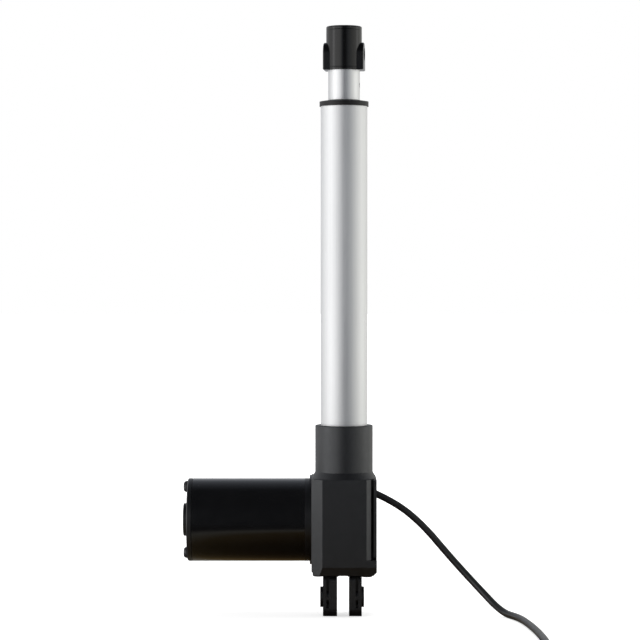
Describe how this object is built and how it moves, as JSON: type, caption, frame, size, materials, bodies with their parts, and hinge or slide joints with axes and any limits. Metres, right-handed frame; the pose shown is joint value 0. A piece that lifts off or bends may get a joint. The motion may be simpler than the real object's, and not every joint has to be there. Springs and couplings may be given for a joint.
{
  "type": "electric linear actuator",
  "caption": "Spindle-driven linear actuator with a telescoping rod, a right-angle worm gearbox, a parallel-offset motor drum, a rear clevis and a cross-drilled rod end.",
  "frame": {"origin": "middle of the rear clevis slot, on the axis of the rear pin hole", "axes": "+Z along the rod towards the rod end, +X along the pin holes away from the motor, +Y towards the motor side, so the side that faces the viewer in the picture is -Y"},
  "size_m": [0.2261, 0.2759, 0.3801],
  "materials": {
    "housing_casting": "satin black coat on a casting",
    "tube_aluminium": "satin anodised",
    "black_polymer": "fine moulded",
    "white_polymer": "natural acetal",
    "rod_end_steel": "black anodised",
    "motor_paint": "gloss black enamel",
    "end_plate_paint": "satin black paint",
    "fastener_steel": "blackened",
    "ground_steel": "ground",
    "bearing_steel": "polished",
    "bush_bronze": "sintered bronze",
    "copper": "bare",
    "magnet_ferrite": "sintered",
    "carbon": "pressed carbon",
    "board": "laminate",
    "seal_rubber": "moulded",
    "cable_jacket": "smooth jacket",
    "contact_tin": "tinned"
  },
  "bodies": {
    "housing": {"gear_housing": "housing_casting", "rear_clevis": "housing_casting", "side_cover": "black_polymer", "housing_screws": "fastener_steel", "side_cover_screws": "fastener_steel", "cable_gland": "seal_rubber", "outer_tube": "tube_aluminium", "tube_end_cap": "black_polymer", "rod_wiper": "seal_rubber", "guide_bush": "white_polymer", "bearing_outer_race": "bearing_steel", "bearing_balls": "bearing_steel", "upper_bush": "bush_bronze", "motor_can": "motor_paint", "motor_flange": "end_plate_paint", "motor_end_cap": "end_plate_paint", "motor_tie_screws": "fastener_steel", "motor_magnets": "magnet_ferrite", "motor_bushes": "bush_bronze", "carbon_brushes": "carbon", "brush_holder": "black_polymer", "limit_switch_strip": "board", "limit_switches": "black_polymer", "power_cable": "cable_jacket", "cable_coil": "cable_jacket", "cable_plug": "black_polymer", "plug_contacts": "contact_tin"},
    "rod": {"extension_tube": "tube_aluminium", "spindle_nut": "white_polymer", "rod_end": "rod_end_steel", "roll_pin": "fastener_steel"},
    "spindle": {"lead_screw": "ground_steel", "worm_wheel": "white_polymer", "spindle_circlip": "fastener_steel", "spindle_end_guide": "white_polymer", "bearing_inner_race": "bearing_steel"},
    "rotor": {"motor_shaft": "ground_steel", "worm": "ground_steel", "armature_core": "ground_steel", "armature_windings": "copper", "commutator": "copper"}
  },
  "joints": [
    {"name": "rod_slide", "type": "slide", "parent": "housing", "child": "rod", "axis": [0, 0, 1], "range_m": [0, 0.15]},
    {"name": "spindle_spin", "type": "hinge", "parent": "housing", "child": "spindle", "pos_m": [0, 0, 0.048], "axis": [0, 0, 1], "continuous": true},
    {"name": "rotor_spin", "type": "hinge", "parent": "housing", "child": "rotor", "pos_m": [0, 0.02025, 0.048], "axis": [1, 0, 0], "continuous": true}
  ],
  "couplings": [
    {"joint": "spindle_spin", "follows": "rod_slide", "rad_per_m": -1570.8},
    {"joint": "rotor_spin", "follows": "rod_slide", "rad_per_m": -34558}
  ]
}
